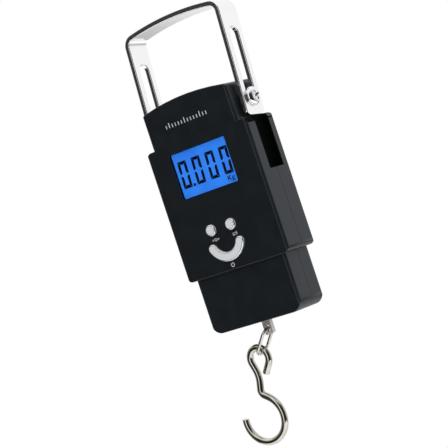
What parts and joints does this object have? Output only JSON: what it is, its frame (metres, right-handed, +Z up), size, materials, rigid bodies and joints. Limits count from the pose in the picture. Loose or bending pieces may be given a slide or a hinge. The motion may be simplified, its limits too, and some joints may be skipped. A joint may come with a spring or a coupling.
{
  "type": "digital hanging scale",
  "caption": "Hand-held digital hanging scale: black stepped casing, slide-out chrome strip handle, lit display, silver keys, and a wire hook on an oval link.",
  "frame": {"origin": "middle of the underside of the handle's bow, where the fingers lift", "axes": "+Z up along the load, +X to the right of the display, -Y out of the display"},
  "size_m": [0.0684, 0.0255, 0.2197],
  "materials": {
    "black_abs": "fine moulded grain",
    "zinc_steel": "zinc plated",
    "clear_lens": "clear acrylic, glossy",
    "display_glass": "liquid crystal panel lit blue from behind",
    "light_guide": "white light guide",
    "contact_rubber": "layered silicone",
    "board": "solder mask",
    "epoxy_black": "moulded epoxy",
    "switch_plastic": "moulded",
    "silver_key": "satin silver paint",
    "white_plastic": "acetal",
    "cell_alloy": "milled",
    "gauge_foil": "foil on film",
    "nickel_steel": "bright nickel plate",
    "chrome_plate": "polished chrome plate",
    "tray_abs": "moulded",
    "cell_can": "plain printed sleeve",
    "spring_steel": "nickel plated spring wire",
    "lead_insulation": "PVC sleeve"
  },
  "bodies": {
    "casing": {"front_shell": "black_abs", "back_shell": "black_abs", "case_screws": "zinc_steel", "display_window": "clear_lens", "lcd_panel": "display_glass", "backlight": "light_guide", "contact_strip": "contact_rubber", "circuit_board": "board", "board_screws": "zinc_steel", "board_chips": "epoxy_black", "buzzer": "epoxy_black", "key_switches": "switch_plastic", "frame_plate": "zinc_steel", "load_cell": "cell_alloy", "strain_gauges": "gauge_foil", "cell_screws": "zinc_steel", "tab_screws": "zinc_steel", "hook_tab": "nickel_steel", "handle_screws": "chrome_plate", "battery_tray": "tray_abs", "battery_left": "cell_can", "battery_right": "cell_can", "battery_springs": "spring_steel", "battery_plates": "spring_steel", "cell_leads": "lead_insulation", "battery_leads": "lead_insulation"},
    "handle_pivot": {"sleeve_left": "white_plastic", "sleeve_right": "white_plastic"},
    "handle": {"handle": "chrome_plate"},
    "battery_cover": {"battery_door": "black_abs"},
    "key_a": {"key_left": "silver_key", "plunger_left": "white_plastic"},
    "key_b": {"key_right": "silver_key", "plunger_right": "white_plastic"},
    "key_c": {"key_crescent": "silver_key", "plunger_crescent": "white_plastic"},
    "link": {"link": "nickel_steel"},
    "hook": {"hook": "nickel_steel"}
  },
  "joints": [
    {"name": "handle_rock", "type": "hinge", "parent": "casing", "child": "handle_pivot", "pos_m": [0, -0.00384, -0.04985], "axis": [1, 0, 0], "range_deg": [0, 4.4]},
    {"name": "handle_slide", "type": "slide", "parent": "handle_pivot", "child": "handle", "axis": [0, 0.0767, 0.9971], "range_m": [-0.032, 0]},
    {"name": "battery_door_slide", "type": "slide", "parent": "casing", "child": "battery_cover", "axis": [0, 0, -1], "range_m": [0, 0.055]},
    {"name": "key_a_press", "type": "slide", "parent": "casing", "child": "key_a", "axis": [0, 1, 0], "range_m": [0, 0.0005], "stiffness_N_per_m": 400},
    {"name": "key_b_press", "type": "slide", "parent": "casing", "child": "key_b", "axis": [0, 1, 0], "range_m": [0, 0.0005], "stiffness_N_per_m": 400},
    {"name": "key_c_press", "type": "slide", "parent": "casing", "child": "key_c", "axis": [0, 1, 0], "range_m": [0, 0.0005], "stiffness_N_per_m": 400},
    {"name": "link_swing", "type": "hinge", "parent": "casing", "child": "link", "pos_m": [0, -0.00805, -0.15975], "axis": [0, 1, 0], "range_deg": [-86, 4]},
    {"name": "hook_swing", "type": "hinge", "parent": "link", "child": "hook", "pos_m": [-0.01168, -0.00805, -0.17319], "axis": [0, 1, 0], "range_deg": [-19, 71]}
  ]
}
